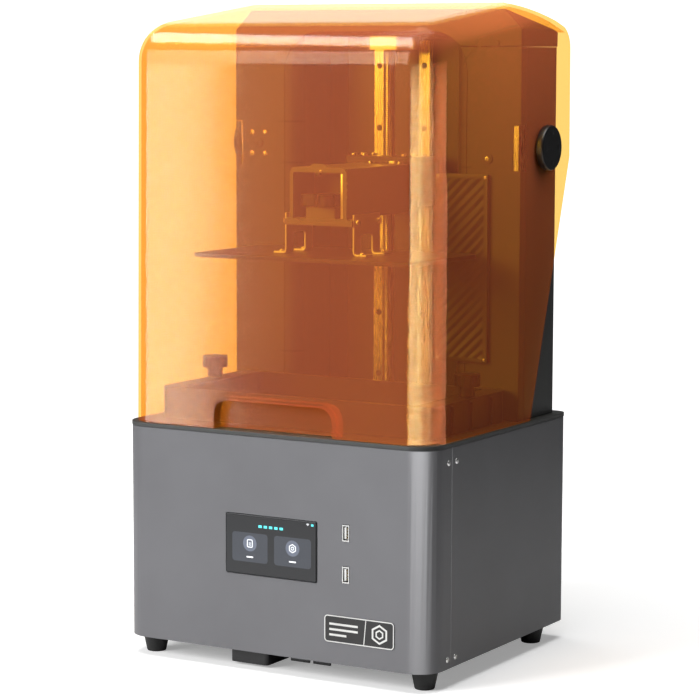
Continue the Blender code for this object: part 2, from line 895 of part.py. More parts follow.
def build_z_drive():
    low = DECK_TOP + GAP
    block(
        "z_column",
        (-COLUMN_HALF_WIDTH, BAY_BACK, low + 0.0045),
        (COLUMN_HALF_WIDTH, TOWER_REAR - SHEET - 0.0005, COLUMN_TOP),
        "dark_anodised",
    )
    for side, word in ((-1, "left"), (1, "right")):
        x = side * RAIL_X
        half = RAIL_WIDTH / 2
        face = BAY_BACK - GAP - RAIL_DEPTH
        outline = [
            (x - half, face),
            (x + half, face),
            (x + half, face + 0.0022),
            (x + half - 0.0016, face + 0.0038),
            (x + half, face + 0.0054),
            (x + half, face + RAIL_DEPTH),
            (x - half, face + RAIL_DEPTH),
            (x - half, face + 0.0054),
            (x - half + 0.0016, face + 0.0038),
            (x - half, face + 0.0022),
        ]
        prism(f"z_rail_{word}", "XY", vectors(outline), RAIL_LOW, RAIL_HIGH, "steel")
        block_half = 0.0135
        block_face = face - 0.0045
        grip = 0.0005
        shell = [
            (x - block_half, block_face),
            (x + block_half, block_face),
            (x + block_half, face + 0.0066),
            (x + half + grip, face + 0.0066),
            (x + half + grip, face - grip),
            (x - half - grip, face - grip),
            (x - half - grip, face + 0.0066),
            (x - block_half, face + 0.0066),
        ]
        prism(
            f"rail_block_{word}",
            "XY",
            vectors(shell),
            CARRIAGE_LOW + 0.004,
            CARRIAGE_LOW + 0.044,
            "steel",
        )

    nut_top = CARRIAGE_LOW + 0.018
    carriage_rear = BAY_BACK - GAP - RAIL_DEPTH - 0.0045 - GAP
    carriage = block(
        "z_carriage",
        (-0.042, SCREW_Y - 0.0145, CARRIAGE_LOW),
        (0.042, carriage_rear, CARRIAGE_TOP),
        "black_plastic",
        0.003,
        "Z",
        3,
    )
    boolean(
        carriage,
        cone_mesh((0, SCREW_Y, CARRIAGE_LOW - 0.01), (0, SCREW_Y, CARRIAGE_TOP + 0.01), 0.0090, sides=24),
    )
    nut = prism(
        "screw_nut",
        "XY",
        circle(0, SCREW_Y, 0.0086, 24),
        CARRIAGE_LOW - 0.003,
        nut_top,
        "brass",
        holes=[circle(0, SCREW_Y, SCREW_RADIUS + 0.0003, 24)],
    )
    flange = prism_mesh(
        "XY",
        circle(0, SCREW_Y, 0.0125, 24),
        CARRIAGE_LOW - 0.0044,
        CARRIAGE_LOW - GAP,
        holes=[circle(0, SCREW_Y, SCREW_RADIUS + 0.0003, 24)],
    )
    boolean(nut, flange, "UNION")

    axis_point = (0, SCREW_Y, 0.4)
    piece(
        "lead_screw",
        cone_mesh((0, SCREW_Y, 0.2092), (0, SCREW_Y, 0.5885), SCREW_RADIUS, sides=24),
        "steel",
        axis_point,
    )
    coupler = prism(
        "shaft_coupler",
        "XY",
        circle(0, SCREW_Y, 0.0095, 24),
        0.1905,
        0.2190,
        "aluminium",
        holes=[circle(0, SCREW_Y, SCREW_RADIUS + 0.0003, 24)],
        pivot=axis_point,
    )
    boolean(coupler, block_mesh((0.0, SCREW_Y - 0.0005, 0.18), (0.012, SCREW_Y + 0.0005, 0.23)))
    motor = block(
        "z_motor",
        (-0.021, SCREW_Y - 0.021, 0.1440),
        (0.021, SCREW_Y + 0.021, 0.1840),
        "black_plastic",
        0.004,
        "Z",
        3,
    )
    boolean(motor, cone_mesh((0, SCREW_Y, 0.180), (0, SCREW_Y, 0.2075), 0.0025, sides=20), "UNION")
    bearing = block(
        "screw_bearing",
        (-0.017, SCREW_Y - 0.013, 0.5750),
        (0.017, BAY_BACK - GAP, 0.5880),
        "aluminium",
        0.003,
        "Z",
        3,
    )
    boolean(bearing, cone_mesh((0, SCREW_Y, 0.56), (0, SCREW_Y, 0.59), SCREW_RADIUS + 0.0004, sides=24))


def bracket(word, side):
    """One side plate of the platform: a bent sheet arch on two outward feet."""
    inner = BRACKET_X - 0.001
    outer = BRACKET_X + 0.001
    low = PLATE_BOTTOM + PLATE_THICKNESS + 0.0003
    foot = 0.0125
    outline = rounded(
        [
            (side * inner, BRACKET_TOP, 0),
            (side * inner, low, 0.004),
            (side * (outer + foot), low, 0),
            (side * (outer + foot), low + 0.002, 0),
            (side * outer, low + 0.002, 0.002),
            (side * outer, BRACKET_TOP, 0),
        ],
        3,
    )
    made = prism(f"platform_bracket_{word}", "XZ", outline, BRACKET_Y[0], BRACKET_Y[1], "aluminium")
    arch = block_mesh(
        (-0.03, BRACKET_Y[0] + 0.0135, low - 0.02),
        (0.03, BRACKET_Y[1] - 0.0135, low + 0.0195),
        0.003,
        "X",
        2,
    )
    arch.transform(Matrix.Translation((side * BRACKET_X, 0, 0)))
    return boolean(made, arch)


def build_platform():
    block(
        "build_plate",
        (-PLATE_HALF_WIDTH, PLATE_FRONT, PLATE_BOTTOM),
        (PLATE_HALF_WIDTH, PLATE_REAR, PLATE_BOTTOM + PLATE_THICKNESS),
        "dark_anodised",
        0.004,
        "Z",
        3,
    )
    bracket("left", -1)
    bracket("right", 1)
    half = BRACKET_X - 0.001 - GAP
    yoke = block(
        "clamp_yoke",
        (-half, BRACKET_Y[0], ARM_BOTTOM - 0.0066),
        (half, BRACKET_Y[1], ARM_BOTTOM - GAP),
        "dark_anodised",
    )
    boolean(
        yoke,
        block_mesh(
            (-0.0165, BRACKET_Y[0] + 0.0015, ARM_BOTTOM - 0.003),
            (0.0165, -0.024, 0.428),
            0.002,
            "Z",
            2,
        ),
        "UNION",
    )
    boolean(yoke, cone_mesh((0, KNOB_Y, 0.420), (0, KNOB_Y, 0.440), 0.0034, sides=16))
    arm = block(
        "platform_arm",
        (-ARM_HALF_WIDTH, BRACKET_Y[0] + 0.0002, ARM_BOTTOM),
        (ARM_HALF_WIDTH, SCREW_Y - 0.0145 - GAP, ARM_TOP),
        "dark_anodised",
        0.0015,
        "Y",
        2,
    )
    pocket = block_mesh(
        (-0.0272, BRACKET_Y[0] - 0.01, ARM_BOTTOM - 0.01),
        (0.0272, -0.019, ARM_TOP - 0.0045),
    )
    boolean(arm, pocket)
    hollow = block_mesh((-0.0272, -0.014, ARM_BOTTOM - 0.01), (0.0272, 0.052, ARM_TOP - 0.0045))
    boolean(arm, hollow)

    wide, narrow, bump = BRACKET_X, 0.031, 0.0075
    low, shelf, top = 0.411, 0.4165, 0.4655
    portal = prism(
        "portal_plate",
        "XZ",
        rounded(
            [
                (-wide, low, 0),
                (wide, low, 0),
                (wide, shelf, 0),
                (narrow, shelf, 0.002),
                (narrow, top, 0.006),
                (bump + 0.003, top, 0.002),
                (bump - 0.002, top + 0.0032, 0.003),
                (-bump + 0.002, top + 0.0032, 0.003),
                (-bump - 0.003, top, 0.002),
                (-narrow, top, 0.006),
                (-narrow, shelf, 0.002),
                (-wide, shelf, 0),
            ],
            3,
        ),
        BRACKET_Y[0] - 0.0026,
        BRACKET_Y[0] - GAP,
        "dark_anodised",
        holes=[
            rounded(
                [
                    (-0.0235, shelf + 0.0005, 0),
                    (-0.019, low + 0.003, 0),
                    (0.019, low + 0.003, 0),
                    (0.0235, shelf + 0.0005, 0),
                    (0.0272, shelf + 0.0005, 0),
                    (0.0272, top - 0.005, 0.0015),
                    (-0.0272, top - 0.005, 0.0015),
                    (-0.0272, shelf + 0.0005, 0),
                ],
                2,
            )
        ],
    )

    lobes = []
    for i in range(3):
        angle = math.radians(69 + 120 * i)
        lobes.append((angle, 0.0155, 0.0078))
    hub = cone_mesh((0, KNOB_Y, 0.4284), (0, KNOB_Y, 0.4405), 0.0105, sides=28)
    knob = piece("clamp_knob", hub, "black_plastic", pivot=(0, KNOB_Y, 0.4345))
    for angle, reach, radius in lobes:
        middle = Vector((reach * math.cos(angle), KNOB_Y + reach * math.sin(angle), 0))
        lobe = prism_mesh("XY", capsule(Vector((0, KNOB_Y, 0)), middle, radius), 0.4288, 0.4400)
        boolean(knob, lobe, "UNION")
    boolean(knob, cone_mesh((0, KNOB_Y, 0.4206), (0, KNOB_Y, 0.4300), 0.0030, sides=16), "UNION")


def capsule(start, end, radius, steps=7):
    """A slot shaped outline round two points."""
    along = (end - start).to_2d().normalized()
    heading = math.atan2(along.y, along.x)
    points = []
    for centre, first in ((end, heading - math.pi / 2), (start, heading + math.pi / 2)):
        for step in range(steps + 1):
            angle = first + math.pi * step / steps
            points.append(
                Vector((centre.x + radius * math.cos(angle), centre.y + radius * math.sin(angle))),
            )
    return points


def build_vat():
    half, wall = VAT_HALF_WIDTH, 0.0035
    well = (-0.1262, VAT_FRONT + wall, 0.1262, VAT_REAR - wall)
    vat = block(
        "vat",
        (-half, VAT_FRONT, VAT_BOTTOM),
        (half, VAT_REAR, VAT_TOP),
        "black_plastic",
        0.009,
        "Z",
        5,
    )
    boolean(
        vat,
        block_mesh((well[0], well[1], VAT_BOTTOM + 0.0030), (well[2], well[3], 0.27), 0.006, "Z", 4),
    )
    boolean(
        vat,
        block_mesh(
            (well[0] + 0.006, well[1] + 0.003, 0.21),
            (well[2] - 0.006, well[3] - 0.003, 0.24),
            0.005,
            "Z",
            3,
        ),
    )
    for side in (-1, 1):
        boolean(
            vat,
            cone_mesh(
                (side * VAT_KNOB_X, VAT_KNOB_Y, 0.21),
                (side * VAT_KNOB_X, VAT_KNOB_Y, 0.27),
                0.0036,
                sides=18,
            ),
        )
        pocket = sorted((side * 0.1300, side * 0.1440))
        for low_y, high_y in (
            (VAT_FRONT + 0.010, VAT_KNOB_Y - 0.010),
            (VAT_KNOB_Y + 0.010, VAT_REAR - 0.010),
        ):
            boolean(
                vat,
                block_mesh((pocket[0], low_y, 0.21), (pocket[1], high_y, VAT_TOP - 0.003), 0.002, "Z", 2),
            )
    block(
        "release_film",
        (well[0] + 0.0006, well[1] + 0.0006, VAT_BOTTOM + 0.0034),
        (well[2] - 0.0006, well[3] - 0.0006, VAT_BOTTOM + 0.0040),
        "clear_sheet",
        0.005,
        "Z",
        3,
    )
    for side, word in ((-1, "left"), (1, "right")):
        x, y = side * VAT_KNOB_X, VAT_KNOB_Y
        head = cone_mesh((x, y, 0.2656), (x, y, 0.2766), 0.0127, sides=36)
        knob = piece(f"vat_screw_{word}", head, "black_plastic", pivot=(x, y, 0.2656))
        boolean(knob, cone_mesh((x, y, VAT_TOP + 0.0006), (x, y, 0.2670), 0.0074, sides=24), "UNION")
        boolean(knob, cone_mesh((x, y, 0.2195), (x, y, VAT_TOP + 0.002), 0.0030, sides=16), "UNION")
        flutes = []
        for i in range(6):
            angle = 2 * math.pi * (i + 0.5) / 6
            place = (x + 0.0152 * math.cos(angle), y + 0.0152 * math.sin(angle))
            flutes.append(cone_mesh((*place, 0.26), (*place, 0.28), 0.0046, sides=14))
        boolean(knob, joined(flutes, "flutes"))


# ---------------------------------------------------------------- lid
def inset_outline(corners, amounts):
    """Moves each edge of a closed outline inwards by its amount; a negative amount moves it outwards."""
    lines = []
    count = len(corners)
    for i, (x, y, _) in enumerate(corners):
        start = Vector((x, y))
        run = (Vector(corners[(i + 1) % count][:2]) - start).normalized()
        inward = Vector((-run.y, run.x))
        lines.append((start + inward * amounts[i], run))
    moved = []
    for i, corner in enumerate(corners):
        (a, u), (b, v) = lines[i - 1], lines[i]
        cross = u.x * v.y - u.y * v.x
        reach = ((b - a).x * v.y - (b - a).y * v.x) / cross
        place = a + u * reach
        radius = max(corner[2] - max(amounts[i - 1], amounts[i], 0.0), 0.0)
        moved.append((place.x, place.y, radius))
    return moved


def lid_profile(inset, front, top):
    """The lid seen from the side: inset all round, front and top drawn in further; open ends run past the lid."""
    open_end = -0.08 if inset else 0.0
    corners = [
        (LID_FRONT_BOTTOM, LID_BOTTOM, 0.0),
        (LID_REAR_FOOT, LID_BOTTOM, 0.0),
        (LID_REAR, LID_REAR_LOW_Z, 0.004),
        (LID_REAR, LID_REAR_TOP_Z, 0.022),
        (LID_APEX[0], LID_APEX[1], 0.012),
        (LID_FRONT_TOP, LID_FRONT_TOP_Z, LID_FILLET),
    ]
    moved = inset_outline(corners, [open_end, open_end, open_end, inset, top + inset, front + inset])
    kept = [(y, z, max(radius, 0.0006) if i > 1 else 0.0) for i, (y, z, radius) in enumerate(moved)]
    return rounded(kept, 7)


def lid_solid(inset):
    """The lid's outer block, drawn in by inset: one side profile carried across, with a rounded band each side.

    The band runs up the front corner, over the front fillet and along the top as one strip. Its lower line goes
    straight on past the apex, so the falling rear edge ends it.
    """
    start = math.radians(LID_BAND_CREASE)
    steps = 6
    spread = math.cos(start) - math.sin(start)
    stations = []
    for step in range(steps + 1):
        angle = start + (math.pi / 2 - 2 * start) * step / steps
        across = (math.sin(angle) - math.sin(start)) / spread
        inward = (math.cos(start) - math.cos(angle)) / spread
        from_edge = (LID_BAND_X - inset) * (1 - across)
        outline = lid_profile(inset, (LID_BAND_Y - inset) * inward, (LID_BAND_Z - inset) * inward)
        stations.append((LID_HALF_BOTTOM - inset - from_edge, outline))
    work = bmesh.new()
    loops = []
    for side, row in ((-1, reversed(stations)), (1, stations)):
        for half, outline in row:
            loops.append(
                [work.verts.new((side * (half - LID_TAPER * (z - LID_BOTTOM)), y, z)) for y, z in outline]
            )
    for near, far in zip(loops, loops[1:]):
        for i in range(len(near)):
            j = (i + 1) % len(near)
            work.faces.new((near[i], near[j], far[j], far[i]))
    work.faces.new(loops[0])
    work.faces.new(reversed(loops[-1]))
    return mesh_from(work, "lid")


def pull_recess(grow):
    """The finger recess under the lid's front edge, grown by the wall it leaves."""
    half, top = 0.0635 + grow, 0.252 + grow
    outline = rounded(
        [(-half, 0.20, 0), (half, 0.20, 0), (half, top, 0.013 + grow), (-half, top, 0.013 + grow)], 4
    )
    return prism_mesh("XZ", outline, -0.16, LID_FRONT_BOTTOM + 0.0125 + grow)


def build_lid():
    hinge = Vector((0, HINGE_Y, HINGE_Z))
    outer = applied(lid_solid(0.0), pull_recess(0.0), "DIFFERENCE")
    inner = applied(lid_solid(LID_WALL), pull_recess(LID_WALL), "DIFFERENCE")
    shell = applied(outer, inner, "DIFFERENCE")
    for side in (-1, 1):
        hole = cone_mesh(
            (side * 0.155, HINGE_Y, HINGE_Z),
            (side * 0.17, HINGE_Y, HINGE_Z),
            PIN_RADIUS + GAP,
            sides=24,
        )
        shell = applied(shell, hole, "DIFFERENCE")
    piece("lid_shell", shell, "orange_acrylic", pivot=hinge)
    face = LID_HALF_BOTTOM
    for side, word in ((-1, "left"), (1, "right")):
        disc = cone_mesh(
            (side * (face - 0.0003), *hinge.yz),
            (side * (face + 0.0077), *hinge.yz),
            DISC_RADIUS,
            sides=44,
        )
        soften(piece(f"pivot_disc_{word}", disc, "black_plastic", pivot=hinge), 0.0022)
        pin = cone_mesh(
            (side * 0.1515, *hinge.yz),
            (side * (face - 0.0007), *hinge.yz),
            PIN_RADIUS,
            sides=24,
        )
        piece(f"hinge_pin_{word}", pin, "steel", pivot=hinge)


build_base()
build_front_items()
build_fans()
build_electrics()
build_tower()
build_z_drive()
build_platform()
build_vat()
build_lid()
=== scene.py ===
"""Looks of the resin printer: materials, lid, fasteners, thread, screen and light, round the CAD model.

Metres, in the frame of the CAD: +X right, +Y rear, +Z up, origin at the bottom centre.
"""

import json
import math

import bmesh
import bpy
from mathutils import Matrix, Vector


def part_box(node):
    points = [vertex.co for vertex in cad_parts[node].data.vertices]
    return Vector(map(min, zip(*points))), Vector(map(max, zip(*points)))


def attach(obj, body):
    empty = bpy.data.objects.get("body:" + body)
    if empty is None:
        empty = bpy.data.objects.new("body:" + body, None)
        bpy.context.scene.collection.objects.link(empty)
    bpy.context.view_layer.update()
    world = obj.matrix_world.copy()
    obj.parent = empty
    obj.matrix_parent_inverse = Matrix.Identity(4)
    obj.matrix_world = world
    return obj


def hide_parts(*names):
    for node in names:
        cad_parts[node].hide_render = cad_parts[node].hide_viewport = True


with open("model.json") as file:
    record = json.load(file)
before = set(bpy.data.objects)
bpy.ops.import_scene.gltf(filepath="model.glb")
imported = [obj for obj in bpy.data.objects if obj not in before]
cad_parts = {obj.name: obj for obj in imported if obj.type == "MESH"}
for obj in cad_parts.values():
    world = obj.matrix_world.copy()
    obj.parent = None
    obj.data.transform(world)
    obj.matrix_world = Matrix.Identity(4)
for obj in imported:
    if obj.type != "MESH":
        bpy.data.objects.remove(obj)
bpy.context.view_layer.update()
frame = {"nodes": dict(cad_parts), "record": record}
NODES = frame["nodes"]

FRONT, RIGHT, UP, REAR = Vector((0, -1, 0)), Vector((1, 0, 0)), Vector((0, 0, 1)), Vector((0, 1, 0))
LEFT = -RIGHT


# ---------------------------------------------------------------- material building
class Shader:
    """A node material round one Principled shader."""

    def __init__(self, name, **values):
        self.material = bpy.data.materials.new(name)
        self.material.use_nodes = True
        self.tree = self.material.node_tree
        self.principled = self.tree.nodes["Principled BSDF"]
        self.output = self.tree.nodes["Material Output"]
        for socket, value in values.items():
            self.principled.inputs[socket.replace("_", " ")].default_value = value

    def node(self, kind, **settings):
        made = self.tree.nodes.new(f"ShaderNode{kind}")
        for key, value in settings.items():
            if key in made.inputs:
                made.inputs[key].default_value = value
            else:
                setattr(made, key, value)
        return made

    def link(self, source, target):
        self.tree.links.new(source, target)

    def place(self, stretch=(1, 1, 1)):
        """Coordinates that stay with the object, stretched for grain."""
        coordinates = self.node("TexCoord")
        mapping = self.node("Mapping")
        mapping.inputs["Scale"].default_value = stretch
        self.link(coordinates.outputs["Object"], mapping.inputs["Vector"])
        return mapping.outputs["Vector"]

    def noise(self, scale, detail=3.0, stretch=(1, 1, 1)):
        made = self.node("TexNoise", Scale=scale, Detail=detail)
        self.link(self.place(stretch), made.inputs["Vector"])
        return made.outputs["Fac"]

    def vary_colour(self, pattern, dark, light, low=0.3, high=0.7):
        ramp = self.node("ValToRGB")
        ramp.color_ramp.elements[0].position = low
        ramp.color_ramp.elements[0].color = (*dark, 1)
        ramp.color_ramp.elements[1].position = high
        ramp.color_ramp.elements[1].color = (*light, 1)
        self.link(pattern, ramp.inputs["Fac"])
        self.link(ramp.outputs["Color"], self.principled.inputs["Base Color"])
        return ramp.outputs["Color"]

    def vary_roughness(self, pattern, low, high):
        spread = self.node("MapRange")
        spread.inputs["To Min"].default_value = low
        spread.inputs["To Max"].default_value = high
        self.link(pattern, spread.inputs["Value"])
        self.link(spread.outputs["Result"], self.principled.inputs["Roughness"])

    def bump(self, pattern, strength, distance):
        relief = self.node("Bump")
        relief.inputs["Strength"].default_value = strength
        relief.inputs["Distance"].default_value = distance
        self.link(pattern, relief.inputs["Height"])
        self.link(relief.outputs["Normal"], self.principled.inputs["Normal"])


def tint(colour, factor):
    return tuple(min(c * factor, 1.0) for c in colour)


def coated_metal(name, colour, roughness=0.42, metallic=0.25, grain=2600.0, relief=0.00004):
    """Powder coated sheet: fine orange peel, faint cloudiness."""
    shader = Shader(name, Metallic=metallic)
    shader.vary_colour(shader.noise(14.0), tint(colour, 0.95), tint(colour, 1.05))
    fine = shader.noise(grain, 2.0)
    shader.vary_roughness(fine, roughness - 0.05, roughness + 0.06)
    shader.bump(fine, 0.35, relief)
    return shader.material


def moulded(name, colour, roughness=0.4, grain=1800.0, relief=0.00003):
    """Moulded plastic with a fine spark texture."""
    shader = Shader(name, Specular_IOR_Level=0.5)
    fine = shader.noise(grain, 2.0)
    shader.vary_colour(shader.noise(30.0), tint(colour, 0.85), tint(colour, 1.15))
    shader.vary_roughness(fine, roughness - 0.06, roughness + 0.08)
    shader.bump(fine, 0.3, relief)
    return shader.material


def bare_metal(name, colour, roughness=0.3, stretch=(1, 1, 1), grain=900.0, relief=0.00002):
    """Machined or ground metal: grain drawn out along one axis."""
    shader = Shader(name, Metallic=1.0)
    lines = shader.noise(grain, 4.0, stretch)
    shader.vary_colour(lines, tint(colour, 0.95), tint(colour, 1.03))
    shader.vary_roughness(lines, max(roughness - 0.08, 0.05), roughness + 0.1)
    shader.bump(lines, 0.1, relief)
    return shader.material


def glossy(name, colour, roughness=0.06, coat=0.5):
    """Black glass: near mirror, with the faintest haze."""
    shader = Shader(name, Coat_Weight=coat, Coat_Roughness=0.03, Specular_IOR_Level=0.27)
    haze = shader.noise(60.0, 3.0)
    shader.vary_colour(haze, tint(colour, 0.9), tint(colour, 1.1))
    shader.vary_roughness(haze, roughness * 0.7, roughness * 1.5)
    return shader.material


def lit(name, colour, strength):
    """A mark shown on the display."""
    shader = Shader(name, Roughness=0.3, Emission_Strength=strength)
    ramp = shader.vary_colour(shader.noise(500.0), tint(colour, 0.94), colour)
    shader.link(ramp, shader.principled.inputs["Emission Color"])
    return shader.material


def see_through(name, passed, scattered, haze=0.3, roughness=0.04, coat=0.0):
    """Tinted clear sheet: light passes on, part of it scatters in the tint, and the surface is glossy."""
    shader = Shader(name, Roughness=roughness)
    cloud = shader.noise(9.0, 2.0)
    shader.vary_colour(cloud, tint(scattered, 0.94), tint(scattered, 1.05))
    clear = shader.node("BsdfTransparent")
    clear.inputs["Color"].default_value = (*passed, 1)
    mix = shader.node("MixShader")
    mix.inputs["Fac"].default_value = haze
    shader.link(clear.outputs["BSDF"], mix.inputs[1])
    shader.link(shader.principled.outputs["BSDF"], mix.inputs[2])
    shader.link(mix.outputs["Shader"], shader.output.inputs["Surface"])
    shader.principled.inputs["Coat Weight"].default_value = coat
    return shader.material


BASE_GREY = (0.136, 0.136, 0.146)
TOWER_GREY = (0.047, 0.048, 0.047)
LOOKS = {
    "base_metal": coated_metal("grey_powder_coat", BASE_GREY, 0.42, 0.10, relief=0.00002),
    "dark_metal": coated_metal("dark_powder_coat", TOWER_GREY, 0.48, 0.10, relief=0.000006),
    "orange_acrylic": see_through("orange_acrylic", (1.0, 0.84, 0.42), (1.0, 0.25, 0.13), 0.16, 0.12),
    "black_plastic": moulded("black_moulded_plastic", (0.014, 0.014, 0.015), 0.36),
    "rubber": moulded("foot_rubber", (0.012, 0.012, 0.012), 0.62, 900.0, 0.00006),
    "steel": bare_metal("ground_steel", (0.62, 0.62, 0.61), 0.26, (1, 1, 0.05)),
    "aluminium": bare_metal("blasted_aluminium", (0.56, 0.56, 0.57), 0.38),
    "dark_anodised": coated_metal("dark_anodised", (0.040, 0.040, 0.042), 0.36, 0.5, 3200.0, 0.00001),
    "screen_glass": glossy("black_glass", (0.008, 0.009, 0.011), 0.05, 0.0),
    "clear_sheet": see_through("clear_film", (0.93, 0.95, 0.96), (0.30, 0.32, 0.34), 0.12, 0.03, 0.5),
    "white_plastic": moulded("white_plastic", (0.80, 0.80, 0.78), 0.42),
    "circuit_board": moulded("solder_mask", (0.012, 0.13, 0.05), 0.34, 700.0),
    "brass": bare_metal("turned_brass", (0.66, 0.46, 0.17), 0.28, (0.1, 0.1, 1)),
    "carbon": moulded("carbon_granules", (0.015, 0.015, 0.015), 0.9, 420.0, 0.0008),
}
PLATFORM_GREY = coated_metal("platform_grey", (0.13, 0.13, 0.13), 0.40, 0.2, 3200.0, 0.00001)
SLOT_OF = {row["node"]: row["material_slot"] for row in frame["record"]["subparts"]}
for node, thing in NODES.items():
    thing.data.materials.clear()
    thing.data.materials.append(LOOKS[SLOT_OF[node]])


# ---------------------------------------------------------------- shape building
def settle(mesh, angle=32.0):
    """Smooth faces with sharp edges where they meet at more than the angle."""
    mesh.polygons.foreach_set("use_smooth", [True] * len(mesh.polygons))
    mesh.set_sharp_from_angle(angle=math.radians(angle))


def add(name, work, look, body, angle=32.0):
    """A finished piece from a bmesh, with its material, on a CAD body."""
    mesh = bpy.data.meshes.new(name)
    bmesh.ops.recalc_face_normals(work, faces=work.faces)
    work.to_mesh(mesh)
    work.free()
    settle(mesh, angle)
    thing = bpy.data.objects.new(name, mesh)
    bpy.context.scene.collection.objects.link(thing)
    mesh.materials.append(LOOKS[look] if isinstance(look, str) else look)
    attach(thing, body)
    return thing


# Merging the flat faces of a plate full of slots gives an outline that folds over itself,
# so these pieces keep their triangles.
SLOTTED = ("vent_panel", "tower_rear_cover", "base_rear_shell", "base_front_panel")


def refine(node, body, bevel, look=None, angle=38.0):
    """The CAD solid again with rounded edges and even shading, shown in place of the CAD node, which is
    hidden.
    """
    work = bmesh.new()
    work.from_mesh(NODES[node].data)
    bmesh.ops.remove_doubles(work, verts=work.verts, dist=0.00001)
    if node not in SLOTTED:
        bmesh.ops.dissolve_limit(work, angle_limit=math.radians(0.6), verts=work.verts, edges=work.edges)
    slot = SLOT_OF[node]
    thing = add(f"{node}_finish", work, look or LOOKS[slot], body)
    if bevel:
        edge = thing.modifiers.new("edges", "BEVEL")
        edge.width = bevel
        edge.segments = 3
        edge.limit_method = "ANGLE"
        edge.angle_limit = math.radians(angle)
        edge.miter_outer = "MITER_ARC"
    even = thing.modifiers.new("even_shading", "WEIGHTED_NORMAL")
    even.keep_sharp = True
    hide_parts(node)
    return thing


def hexagon(radius):
    """Radius of a hexagonal socket at each angle."""
    return lambda angle: radius * math.cos(math.pi / 6) / math.cos((angle % (math.pi / 3)) - math.pi / 6)


def turned(profile, sides=24):
    """A body of revolution about +Z from (radius, height) points; both ends are closed."""
    work = bmesh.new()
    rings = []
    for radius, height in profile:
        ring = []
        for i in range(sides):
            angle = 2 * math.pi * i / sides
            reach = radius(angle) if callable(radius) else radius
            ring.append(work.verts.new((reach * math.cos(angle), reach * math.sin(angle), height)))
        rings.append(ring)
    for low, high in zip(rings, rings[1:]):
        for i in range(sides):
            j = (i + 1) % sides
            work.faces.new((low[i], low[j], high[j], high[i]))
    work.faces.new(reversed(rings[0]))
    work.faces.new(rings[-1])
    return work


def slab(low, high, radius=0.0, segments=3, only=None):
    """A block between two corners with rounded edges: all of them, or those along one axis."""
    work = bmesh.new()
    bmesh.ops.create_cube(work, size=1.0)
    size = Vector(high) - Vector(low)
    middle = (Vector(high) + Vector(low)) / 2
    work.transform(Matrix.Translation(middle) @ Matrix.Diagonal((*size, 1)))
    if radius:
        edges = list(work.edges)
        if only:
            axis = "XYZ".index(only)
            edges = [e for e in edges if abs(e.verts[0].co[axis] - e.verts[1].co[axis]) > 1e-6]
        bmesh.ops.bevel(work, geom=edges, offset=radius, segments=segments, affect="EDGES", profile=0.5)
    return work


def facing(work, place, direction):
    """Stands a shape made along +Z at a place, along a direction."""
    turn = Vector(direction).to_track_quat("Z", "Y").to_matrix().to_4x4()
    work.transform(Matrix.Translation(place) @ turn)
    return work


def together(works):
    """Several bmeshes as one."""
    whole = bmesh.new()
    for work in works:
        mesh = bpy.data.meshes.new("part")
        work.to_mesh(mesh)
        work.free()
        whole.from_mesh(mesh)
        bpy.data.meshes.remove(mesh)
    return whole


def cap_screw(radius, height):
    """Head of a socket screw with a hexagonal recess."""
    return turned(
        [
            (radius * 0.98, -0.0002),
            (radius, height * 0.15),
            (radius, height * 0.72),
            (radius * 0.93, height * 0.93),
            (radius * 0.80, height),
            (hexagon(radius * 0.56), height),
            (hexagon(radius * 0.54), height * 0.35),
        ]
    )


def dome_screw(radius, height):
    """Head of a button screw with a hexagonal recess."""
    return turned(
        [
            (radius, -0.0002),
            (radius, height * 0.12),
            (radius * 0.94, height * 0.45),
            (radius * 0.80, height * 0.75),
            (radius * 0.60, height * 0.95),
            (hexagon(radius * 0.45), height),
            (hexagon(radius * 0.43), height * 0.3),
        ]
    )


def screws(name, places, direction, radius, height, body, slot="steel", head=cap_screw):
    """The same screw at several places, as one piece."""
    works = [facing(head(radius, height), place, direction) for place in places]
    return add(name, together(works), slot, body)


# ---------------------------------------------------------------- case
BASE_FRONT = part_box("base_front_panel")[0].y
BASE_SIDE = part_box("base_rear_shell")[1].x
TOWER_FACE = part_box("tower_front_left")[0].y
finished = {}
for node, bevel in {
    "base_front_panel": 0.0007,
    "base_rear_shell": 0.0007,
    "deck_plate": 0.0,
    "tower_front_left": 0.0005,
    "tower_front_right": 0.0005,
    "tower_rear_cover": 0.0006,
    "tower_top_cap": 0.0012,
    "z_bay_liner": 0.0004,
    "vent_panel": 0.0,
    "touchscreen": 0.0002,
    "badge_plate": 0.0002,
    "vat": 0.0007,
    "power_inlet": 0.0005,
    "power_switch": 0.0006,
    "z_column": 0.0004,
    "light_housing": 0.0005,
    "release_film": 0.0,
    "lcd_panel": 0.0003,
}.items():
    finished[node] = refine(node, "power_switch" if node == "power_switch" else "printer", bevel)
for node in ("foot_front_left", "foot_front_right", "foot_rear_left", "foot_rear_right"):
    refine(node, "printer", 0.0)

